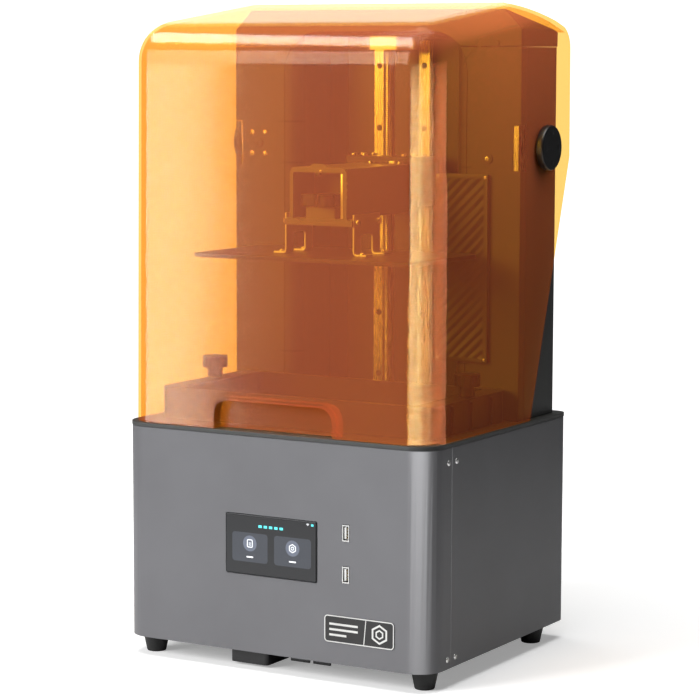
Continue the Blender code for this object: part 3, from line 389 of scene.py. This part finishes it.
SIDE_SCREW_Y = (-0.1063, -0.0911)
SIDE_SCREW_Z = (0.207, 0.0273)
for side, word, direction in ((-1, "left", LEFT), (1, "right", RIGHT)):
    places = [(side * (BASE_SIDE + 0.0001), y, z) for y in SIDE_SCREW_Y for z in SIDE_SCREW_Z]
    screws(f"case_screws_{word}", places, direction, 0.0027, 0.0010, "printer", head=dome_screw)
CASE_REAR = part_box("base_rear_shell")[1].y
rear_places = [(x, CASE_REAR, z) for x in (-0.150, 0.0, 0.150) for z in (0.030, 0.207)]
screws("case_screws_rear", rear_places, REAR, 0.0027, 0.0007, "printer", head=dome_screw)
fan_x, fan_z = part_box("rear_fan_frame")[0].x + 0.030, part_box("rear_fan_frame")[0].z + 0.030
fan_places = [(fan_x + dx, CASE_REAR, fan_z + dz) for dx in (-0.025, 0.025) for dz in (-0.0355, 0.0355)]
screws("rear_fan_screws", fan_places, REAR, 0.0026, 0.0007, "printer", head=dome_screw)

# ---------------------------------------------------------------- display
SCREEN_LOW, SCREEN_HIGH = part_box("touchscreen")
DISPLAY_FACE = SCREEN_LOW.y
display_width = SCREEN_HIGH.x - SCREEN_LOW.x
display_height = SCREEN_HIGH.z - SCREEN_LOW.z


def on_display(u, v, behind=0.0):
    """A point behind the display's face: u from its left edge, v from its top edge, both 0 to 1."""
    x = SCREEN_LOW.x + u * display_width
    z = SCREEN_HIGH.z - v * display_height
    return Vector((x, DISPLAY_FACE + behind, z))


def display_card(u0, v0, u1, v1, rise, radius):
    """A rounded card that stands out from the display's face by rise."""
    return slab(on_display(u0, v1, -rise), on_display(u1, v0, -rise + 0.00004), radius, 6, "Y")


PANEL_DARK = lit("display_dark", (0.012, 0.013, 0.015), 0.10)
PANEL_CARD = lit("display_card", (0.045, 0.050, 0.062), 0.35)
PANEL_ICON = lit("display_icon_disc", (0.120, 0.135, 0.175), 0.5)
PANEL_WHITE = lit("display_white", (0.85, 0.87, 0.90), 0.7)
PANEL_CYAN = lit("display_cyan", (0.10, 0.68, 0.72), 0.8)
picture = display_card(0.012, 0.02, 0.988, 0.98, 0.00006, 0.0008)
add("display_picture", picture, PANEL_DARK, "printer")
CARD_TOP, CARD_BOTTOM = 0.298, 0.785
CARD_SIDES = ((0.075, 0.467), (0.539, 0.941))
cards = [display_card(left, CARD_TOP, right, CARD_BOTTOM, 0.00011, 0.0030) for left, right in CARD_SIDES]
add("display_cards", together(cards), PANEL_CARD, "printer")
ICONS = ((0.271, 0.475), (0.740, 0.478))
ICON_DISC = [(0.0074, 0), (0.0074, 0.00004)]
discs = [facing(turned(ICON_DISC, 44), on_display(u, v, -0.00012), FRONT) for u, v in ICONS]
add("display_icon_discs", together(discs), PANEL_ICON, "printer")


def ribbon(points, width, normals=FRONT, thickness=0.00004, closed=True):
    """A flat band along 3D points on a surface; normals is one for all or one for each."""
    work = bmesh.new()
    count = len(points)
    rims = []
    for i, here in enumerate(points):
        normal = normals if isinstance(normals, Vector) else normals[i]
        before = points[i - 1] if closed or i else here
        after = points[(i + 1) % count] if closed or i < count - 1 else here
        side = (after - before).normalized().cross(normal) * width / 2
        rise = normal * thickness
        rim = (here + side, here + side + rise, here - side + rise, here - side)
        rims.append([work.verts.new(p) for p in rim])
    for i in range(count if closed else count - 1):
        a, b = rims[i], rims[(i + 1) % count]
        for j in range(4):
            k = (j + 1) % 4
            work.faces.new((a[j], a[k], b[k], b[j]))
    if not closed:
        work.faces.new(rims[0])
        work.faces.new(reversed(rims[-1]))
    return work


def bar(middle, reach, width):
    """A short level ribbon."""
    return ribbon([middle - RIGHT * reach, middle + RIGHT * reach], width, closed=False)


def around(middle, radius, count, start=0.0):
    """Points of a regular shape in the front plane, the first at start degrees from upright."""
    angles = [math.radians(start) + 2 * math.pi * i / count for i in range(count)]
    return [middle + RIGHT * radius * math.sin(a) + UP * radius * math.cos(a) for a in angles]


def rounded_frame(low, high, radius, face_y, steps=6):
    """Corners of a rounded rectangle in the front plane; low and high give its x and z."""
    points = []
    for cx, cz, start in (
        (high.x - radius, high.z - radius, 0),
        (low.x + radius, high.z - radius, 90),
        (low.x + radius, low.z + radius, 180),
        (high.x - radius, low.z + radius, 270),
    ):
        for i in range(steps + 1):
            angle = math.radians(start + 90 * i / steps)
            points.append(Vector((cx + radius * math.cos(angle), face_y, cz + radius * math.sin(angle))))
    return points


MARK_DEPTH = 0.00017
sheet_icon, cog_icon = (on_display(u, v, -MARK_DEPTH) for u, v in ICONS)
sheet_half = Vector((0.0027, 0, 0.0034))
marks = [
    ribbon(rounded_frame(sheet_icon - sheet_half, sheet_icon + sheet_half, 0.0009, sheet_icon.y), 0.0008),
    bar(sheet_icon - UP * 0.0014, 0.0011, 0.0007),
    bar(sheet_icon + UP * 0.0004, 0.0011, 0.0007),
    ribbon(around(cog_icon, 0.0038, 6), 0.0009),
    ribbon(around(cog_icon, 0.0014, 20), 0.0007),
]
marks += [bar(on_display(u, 0.70, -MARK_DEPTH), 0.0036, 0.0013) for u, v in ICONS]
signal = on_display(0.905, 0.078, -MARK_DEPTH)
for reach in (0.0006, 0.0013, 0.0020):
    marks.append(ribbon(around(signal, reach, 36, -45)[:10], 0.0004, closed=False))
add("display_marks", together(marks), PANEL_WHITE, "printer")
accent = [bar(on_display(0.385 + 0.058 * i, 0.175, -MARK_DEPTH), 0.0018, 0.0024) for i in range(5)]
accent.append(bar(on_display(0.955, 0.060, -MARK_DEPTH), 0.0013, 0.0020))
add("display_accent", together(accent), PANEL_CYAN, "printer")

# ---------------------------------------------------------------- nameplate with generic marks
badge_low, badge_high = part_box("badge_plate")
badge_middle = (badge_low + badge_high) / 2
badge_middle.y = badge_low.y - 0.00002
BADGE_EDGE = Vector((0.0007, 0, 0.0007))
badge_frame = rounded_frame(badge_low + BADGE_EDGE, badge_high - BADGE_EDGE, 0.0030, badge_middle.y)
divide = badge_middle + RIGHT * (badge_high.x - badge_low.x) * 0.085
divide_reach = (badge_high.z - badge_low.z) / 2 - BADGE_EDGE.z
divide_line = [divide - UP * divide_reach - RIGHT * 0.0011, divide + UP * divide_reach + RIGHT * 0.0011]
emblem = badge_middle.copy()
emblem.x = (divide.x + badge_high.x) / 2
badge_marks = [
    ribbon(badge_frame, 0.0010),
    ribbon(divide_line, 0.0008, closed=False),
    ribbon(around(emblem, 0.0082, 6), 0.0020),
    ribbon(around(emblem, 0.0038, 6), 0.0016),
]
for rise, reach in ((0.0045, 0.0150), (-0.0005, 0.0150), (-0.0055, 0.0090)):
    start = badge_middle + UP * rise
    start.x = badge_low.x + 0.0055 + reach
    badge_marks.append(bar(start, reach, 0.0020))
add("badge_marks", together(badge_marks), "white_plastic", "printer")

# ---------------------------------------------------------------- sockets
TONGUE_MARGIN = 0.0022
CONTACT_MARGIN = 0.0034
for word in ("upper", "lower"):
    low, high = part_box(f"usb_port_{word}")
    middle_x = (low.x + high.x) / 2
    tongue_low = (middle_x - 0.0016, BASE_FRONT + 0.0003, low.z + TONGUE_MARGIN)
    tongue_high = (middle_x + 0.0004, BASE_FRONT + 0.0088, high.z - TONGUE_MARGIN)
    tongue = slab(tongue_low, tongue_high, 0.0002, 2)
    add(f"usb_tongue_{word}", tongue, "white_plastic", "printer")
    contacts = []
    for i in range(4):
        z = low.z + CONTACT_MARGIN + (high.z - low.z - 2 * CONTACT_MARGIN) * i / 3
        contact_low = (middle_x + 0.0006, BASE_FRONT + 0.0010, z - 0.0006)
        contact_high = (middle_x + 0.0010, BASE_FRONT + 0.0080, z + 0.0006)
        contacts.append(slab(contact_low, contact_high, 0.0001, 2))
    add(f"usb_contacts_{word}", together(contacts), "brass", "printer")
inlet_low, inlet_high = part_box("power_inlet")
inlet_x = (inlet_low.x + inlet_high.x) / 2
PIN_HALF = Vector((0.001, 0.006, 0.002))
PIN_DEPTH = 0.0085
PIN_PLACES = ((-0.007, 0.0112), (0.0, 0.0152), (0.007, 0.0112))
pins = []
for dx, dz in PIN_PLACES:
    pin_middle = Vector((inlet_x + dx, CASE_REAR - PIN_DEPTH, inlet_low.z + dz))
    pins.append(slab(pin_middle - PIN_HALF, pin_middle + PIN_HALF, 0.0004, 2))
add("inlet_pins", together(pins), "brass", "printer")

# ---------------------------------------------------------------- Z drive
screw_low, screw_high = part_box("lead_screw")
screw_x, screw_y = (screw_low.x + screw_high.x) / 2, (screw_low.y + screw_high.y) / 2


def thread(low, high, radius, lead, starts, depth=0.0009, sides=28, along=0.0005):
    """A right handed multi start thread as a closed solid."""
    work = bmesh.new()
    rows = int((high - low) / along)
    rings = []
    for row in range(rows + 1):
        z = low + (high - low) * row / rows
        circle = []
        for i in range(sides):
            angle = 2 * math.pi * i / sides
            phase = ((z - lead * angle / (2 * math.pi)) * starts / lead) % 1.0
            flank = min(max(abs(phase - 0.5) * 4 - 0.5, 0.0), 1.0)
            reach = radius - depth * flank
            circle.append(work.verts.new((reach * math.cos(angle), reach * math.sin(angle), z)))
        rings.append(circle)
    for a, b in zip(rings, rings[1:]):
        for i in range(sides):
            j = (i + 1) % sides
            work.faces.new((a[i], a[j], b[j], b[i]))
    work.faces.new(reversed(rings[0]))
    work.faces.new(rings[-1])
    work.transform(Matrix.Translation((screw_x, screw_y, 0)))
    return work


rod = add("lead_screw_thread", thread(screw_low.z, screw_high.z, 0.0060, 0.008, 4), "steel", "drive_screw")
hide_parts("lead_screw")
RAIL_BOLT_Z = [0.5595 - 0.0611 * i for i in range(6)]
for word, x in (("left", -0.025), ("right", 0.025)):
    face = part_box(f"z_rail_{word}")[0].y
    bolts = [(x, face + 0.0001, z) for z in RAIL_BOLT_Z]
    screws(f"rail_bolts_{word}", bolts, FRONT, 0.0030, 0.0006, "printer", "dark_metal")
for node in ("z_carriage", "build_plate", "rail_block_left", "rail_block_right"):
    refine(node, "platform", 0.0004)
for node in ("platform_bracket_left", "platform_bracket_right"):
    refine(node, "platform", 0.0004)
for node in ("platform_arm", "portal_plate", "clamp_yoke"):
    refine(node, "platform", 0.0004, PLATFORM_GREY)
refine("clamp_knob", "clamp_knob", 0.0009)
refine("vat_screw_left", "vat_screw_left", 0.0007)
refine("vat_screw_right", "vat_screw_right", 0.0007)
CARRIAGE_SCREW_X = (-0.034, -0.022, 0.022, 0.034)
CARRIAGE_SCREW_Y = (0.068, 0.086)
carriage_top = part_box("z_carriage")[1].z
carriage_places = [(x, y, carriage_top) for x in CARRIAGE_SCREW_X for y in CARRIAGE_SCREW_Y]
screws("carriage_screws", carriage_places, UP, 0.0030, 0.0024, "platform")
portal_low, portal_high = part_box("portal_plate")
portal_face, portal_back = portal_low.y, portal_high.y
# A bright aluminium strip at the right jamb's inner edge: a painted highlight where that edge catches the
# light, though the metal also mirrors the lamps.
jamb_highlight = slab((0.0242, portal_face + 0.0006, 0.4180), (0.0268, portal_back, 0.4598), 0.0002, 2)
add("portal_jamb_highlight_strip", jamb_highlight, "aluminium", "platform")
stop = slab((-0.0030, portal_face + 0.0003, 0.4572), (0.0020, portal_back, 0.4607), 0.0003, 2)
add("portal_stop", stop, "black_plastic", "platform")
screws("portal_stop_screw", [(0.0030, portal_face, 0.4618)], FRONT, 0.0013, 0.0008, "platform")
EDGE_BUMPS = (0.4512, 0.4450, 0.4383)
bumps = [
    facing(turned([(0.0014, 0), (0.0014, 0.0020), (0.0011, 0.0023)], 20), (0.0308, portal_back, z), FRONT)
    for z in EDGE_BUMPS
]
add("portal_edge_bumps", together(bumps), PLATFORM_GREY, "platform")
arm_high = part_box("platform_arm")[1]
arm_places = [(x, arm_high.y - 0.0060, arm_high.z) for x in (-0.0084, 0.0239)]
screws("arm_screws", arm_places, UP, 0.0028, 0.0024, "platform")
clip_low = (0.0139, arm_high.y - 0.0105, arm_high.z - 0.0001)
clip_high = (0.0207, arm_high.y - 0.0015, arm_high.z + 0.0030)
clip = slab(clip_low, clip_high, 0.0005, 2)
add("arm_clip", clip, "aluminium", "platform")
BRACKET_SCREW_EDGE = 0.0045
for side, word, direction in ((-1, "left", LEFT), (1, "right", RIGHT)):
    low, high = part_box(f"platform_bracket_{word}")
    screw_y = (low.y + BRACKET_SCREW_EDGE, high.y - BRACKET_SCREW_EDGE)
    feet = [(side * 0.0440, y, low.z + 0.0020) for y in screw_y]
    screws(f"bracket_foot_screws_{word}", feet, UP, 0.0030, 0.0018, "platform", head=dome_screw)
    upper = [(side * 0.0380, y, 0.4145) for y in screw_y]
    screws(f"bracket_side_screws_{word}", upper, direction, 0.0030, 0.0028, "platform")

# ---------------------------------------------------------------- tower face
HINGE_SCREW_X = (0.1240, 0.1389)
HINGE_SCREW_Z = (0.4726, 0.4935)
HINGE_STRIP_X = (-0.1580, -0.1522)
HINGE_STRIP_Z = (0.4600, 0.5040)
HINGE_Z = 0.483
COLUMN_SEAM_Z = (0.5045, 0.4642, 0.2769)
COLUMN_RADIUS = 0.014
COLUMN_X = 0.101
BOSS = [(0.0050, -0.0001), (0.0050, 0.0006), (0.0042, 0.0010), (0.0022, 0.0010), (0.0018, 0.0004)]


def across_column(side, z, lift):
    """Points and normals of a level line over the rounded edge of the printing bay."""
    points, normals = [], []
    for i in range(-1, 9):
        angle = math.radians(max(i, 0) * 90 / 8)
        normal = Vector((-side * math.sin(angle), -math.cos(angle), 0))
        middle = Vector((side * COLUMN_X, TOWER_FACE + COLUMN_RADIUS, z))
        start = RIGHT * side * 0.006 if i < 0 else Vector()
        points.append(middle + start + normal * (COLUMN_RADIUS + lift))
        normals.append(normal)
    return points, normals


places = [(-x, TOWER_FACE, z) for x in HINGE_SCREW_X for z in HINGE_SCREW_Z]
screws("hinge_screws", places, FRONT, 0.0022, 0.0012, "printer")
boss = facing(turned(BOSS, 32), (-sum(HINGE_SCREW_X) / 2, TOWER_FACE, HINGE_Z), FRONT)
add("hinge_boss", boss, "dark_metal", "printer")
strip_low = (HINGE_STRIP_X[0], TOWER_FACE - 0.0007, HINGE_STRIP_Z[0])
strip_high = (HINGE_STRIP_X[1], TOWER_FACE + 0.0002, HINGE_STRIP_Z[1])
strip = slab(strip_low, strip_high, 0.0003, 2)
add("hinge_strip", strip, "dark_metal", "printer")
for side, word in ((-1, "left"), (1, "right")):
    seams = []
    for z in COLUMN_SEAM_Z:
        points, normals = across_column(side, z, 0.00005)
        seams.append(ribbon(points, 0.0012, normals, 0.0001, closed=False))
    add(f"column_seams_{word}", together(seams), "black_plastic", "printer")

SEAM_Z = 0.466
panel_seam = [Vector((x, TOWER_FACE - 0.00005, SEAM_Z)) for x in (0.1300, 0.1520)]
arch = [(0.0969, 0.5615), (0.1010, 0.5680), (0.1070, 0.5738), (0.1140, 0.5780)]
arch += [(0.1220, 0.5808), (0.1310, 0.5819), (0.1430, 0.5815), (0.1555, 0.5800)]
arch_seam = [Vector((x, TOWER_FACE - 0.00005, z)) for x, z in arch]
wing_seams = [ribbon(panel_seam, 0.0008, thickness=0.0001, closed=False)]
wing_seams.append(ribbon(arch_seam, 0.0016, thickness=0.0001, closed=False))
add("wing_seams", together(wing_seams), "black_plastic", "printer")
nub = slab((0.1318, TOWER_FACE - 0.0010, 0.5780), (0.1352, TOWER_FACE + 0.0001, 0.5835), 0.0005, 2)
add("wing_nub", nub, "dark_metal", "printer")

TAB = Vector((0.1239, TOWER_FACE, 0.4727))
vent_low, vent_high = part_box("vent_panel")
tab_profile = [(0.0052, -0.0001), (0.0052, 0.0009), (0.0048, 0.0012), (0.0020, 0.0012)]
add("vent_tab", facing(turned(tab_profile, 36), TAB, FRONT), "dark_metal", "printer")
screws("vent_tab_screw", [TAB - REAR * 0.0012], FRONT, 0.0021, 0.0010, "printer")
vent_x = (vent_low.x + 0.0028, vent_high.x - 0.0028)
vent_z = (vent_low.z + 0.0028, vent_high.z - 0.0028)
vent_places = [(x, vent_low.y, z) for x in vent_x for z in vent_z]
screws("vent_screws", vent_places, FRONT, 0.0017, 0.0008, "printer", head=dome_screw)

# ---------------------------------------------------------------- vat ribs and underside
vat_low, vat_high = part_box("vat")
RIB_Y = (-0.0677, -0.0304, 0.0096)
RIB_HALF = 0.0008
for side, word in ((-1, "left"), (1, "right")):
    ribs = []
    rib_left, rib_right = sorted((side * (vat_high.x - 0.0010), side * (vat_high.x + 0.0032)))
    for y in RIB_Y:
        rib_low = (rib_left, y - RIB_HALF, vat_low.z + 0.0010)
        rib_high = (rib_right, y + RIB_HALF, vat_high.z - 0.0022)
        ribs.append(slab(rib_low, rib_high, 0.0003, 2))
    add(f"vat_ribs_{word}", together(ribs), SLOT_OF["vat"], "printer")
UNDER_TABS = ((0.0081, 0.0288), (0.0324, 0.0512))
floor_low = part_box("base_floor_plate")[0]
tabs = [
    slab((tab_left, -0.1190, floor_low.z - 0.0088), (tab_right, -0.1170, floor_low.z + 0.0004), 0.0005, 2)
    for tab_left, tab_right in UNDER_TABS
]
add("underside_tabs", together(tabs), "black_plastic", "printer")

# ---------------------------------------------------------------- lid
DISC_RING = 0.0138
lid = refine("lid_shell", "lid", 0.0008, angle=50.0)
for side, word, direction in ((-1, "left", LEFT), (1, "right", RIGHT)):
    refine(f"pivot_disc_{word}", "lid", 0.0)
    low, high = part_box(f"pivot_disc_{word}")
    face = high.x if side == 1 else low.x
    middle = (low + high) / 2
    spots = []
    for quarter in range(4):
        angle = math.pi * quarter / 2
        spot_y = middle.y + DISC_RING * math.cos(angle)
        spot_z = middle.z + DISC_RING * math.sin(angle)
        spots.append((face - side * 0.00005, spot_y, spot_z))
    screws(f"disc_screws_{word}", spots, direction, 0.0030, 0.0003, "lid", "black_plastic")

# ---------------------------------------------------------------- floor, light and camera
FLOOR_RADIUS = 1.3
FLOOR_GLOW = 0.30
FLOOR_BOUNCE = 0.15
floor_mesh = bpy.data.meshes.new("floor")
work = bmesh.new()
bmesh.ops.create_circle(work, cap_ends=True, segments=96, radius=FLOOR_RADIUS)
work.to_mesh(floor_mesh)
work.free()
floor = bpy.data.objects.new("floor", floor_mesh)
bpy.context.scene.collection.objects.link(floor)
paper = Shader("pale_paper", Roughness=0.9, Emission_Color=(1, 1, 1, 1))
white = paper.vary_colour(paper.noise(3.0), (0.90, 0.90, 0.90), (0.92, 0.92, 0.92))
floor_rays = paper.node("LightPath")
glow = paper.node("MapRange")
glow.inputs["To Max"].default_value = FLOOR_GLOW
paper.link(floor_rays.outputs["Is Camera Ray"], glow.inputs["Value"])
paper.link(glow.outputs["Result"], paper.principled.inputs["Emission Strength"])
bounce = paper.node("MapRange")
bounce.inputs["To Min"].default_value = 1.0
bounce.inputs["To Max"].default_value = FLOOR_BOUNCE
paper.link(floor_rays.outputs["Is Diffuse Ray"], bounce.inputs["Value"])
dimmed = paper.node("HueSaturation")
paper.link(white, dimmed.inputs["Color"])
paper.link(bounce.outputs["Result"], dimmed.inputs["Value"])
paper.link(dimmed.outputs["Color"], paper.principled.inputs["Base Color"])
floor_mesh.materials.append(paper.material)

AMBIENT = 0.07
BACKDROP = 1.6
world = bpy.data.worlds.new("studio")
world.use_nodes = True
bpy.context.scene.world = world
nodes, links = world.node_tree.nodes, world.node_tree.links
soft = nodes["Background"]
soft.inputs["Color"].default_value = (1, 1, 1, 1)
soft.inputs["Strength"].default_value = AMBIENT
seen = nodes.new("ShaderNodeBackground")
seen.inputs["Strength"].default_value = BACKDROP
choice = nodes.new("ShaderNodeMixShader")
rays = nodes.new("ShaderNodeLightPath")
links.new(rays.outputs["Is Camera Ray"], choice.inputs["Fac"])
links.new(soft.outputs["Background"], choice.inputs[1])
links.new(seen.outputs["Background"], choice.inputs[2])
links.new(choice.outputs["Shader"], nodes["World Output"].inputs["Surface"])


def lamp(name, place, aim, size, power, only=(), glossy=True, diffuse=True, colour=(1, 1, 1)):
    """A soft box. With only, it reaches just those pieces."""
    light = bpy.data.lights.new(name, "AREA")
    light.shape = "RECTANGLE"
    light.size, light.size_y = size
    light.energy = power
    light.color = colour
    thing = bpy.data.objects.new(name, light)
    bpy.context.scene.collection.objects.link(thing)
    thing.location = place
    thing.rotation_euler = (Vector(aim) - Vector(place)).to_track_quat("-Z", "Y").to_euler()
    thing.visible_camera = False
    thing.visible_diffuse = diffuse
    thing.visible_glossy = glossy
    if only:
        receivers = bpy.data.collections.new(f"{name}_receivers")
        for piece in only:
            receivers.objects.link(piece)
        thing.light_linking.receiver_collection = receivers


def reflection(name, place, aim, size, power, only, colour=(1, 1, 1)):
    """A soft box that some pieces mirror and that lights nothing."""
    lamp(name, place, aim, size, power, only, diffuse=False, colour=colour)


# The key and the overhead light everything. The others reach the lid or the case only, and those
# at the lid's front corner are tinted, because that light has been through the orange sheet.
CENTRE = (0, 0, 0.30)
lamp("key", (-1.7, -2.6, 1.5), CENTRE, (1.6, 1.6), 132)
lamp("overhead", (0.0, -0.2, 2.4), CENTRE, (1.8, 1.8), 62)
LID_CORNER = (0.15, -0.125, 0.40)
reflection("corner_band", (0.76, -1.50, 0.22), LID_CORNER, (1.45, 0.7), 180, [lid], (1.0, 0.80, 0.45))
reflection("corner_fade", (1.51, -0.76, 0.22), LID_CORNER, (0.80, 0.7), 72, [lid], (1.0, 0.55, 0.28))
reflection("corner_tail", (1.56, 0.388, 0.22), LID_CORNER, (1.6, 0.7), 100, [lid], (1.0, 0.35, 0.18))
reflection("edge_band", (-0.85, -0.62, 1.89), (-0.3, -0.12, 0.58), (1.9, 0.5), 140, [lid])
reflection("top_sheen", (-1.10, 1.76, 1.31), (0, 0, 0.60), (1.8, 1.0), 25, [lid])
reflection("front_sheen", (-1.16, -1.36, 0.25), (-0.13, -0.14, 0.42), (0.46, 0.8), 34, [lid])
lamp("side_glow", (0.33, 0.05, 0.74), (0.16, 0.02, 0.56), (0.2, 0.4), 1.0, [lid], glossy=False)
case = [finished["base_front_panel"], finished["base_rear_shell"]]
reflection("case_corner", (1.335, -2.096, 0.37), (0.15, -0.125, 0.12), (3.3, 0.7), 190, case)

camera = bpy.data.objects.new("camera", bpy.data.cameras.new("camera"))
bpy.context.scene.collection.objects.link(camera)
camera.location = (1.2172, -2.0770, 0.5667)
camera.rotation_euler = tuple(math.radians(a) for a in (83.405, -0.172, 30.36))
camera.data.lens = 129.84
camera.data.sensor_width = 36.0
bpy.context.scene.camera = camera
bpy.context.scene.view_settings.view_transform = "Standard"
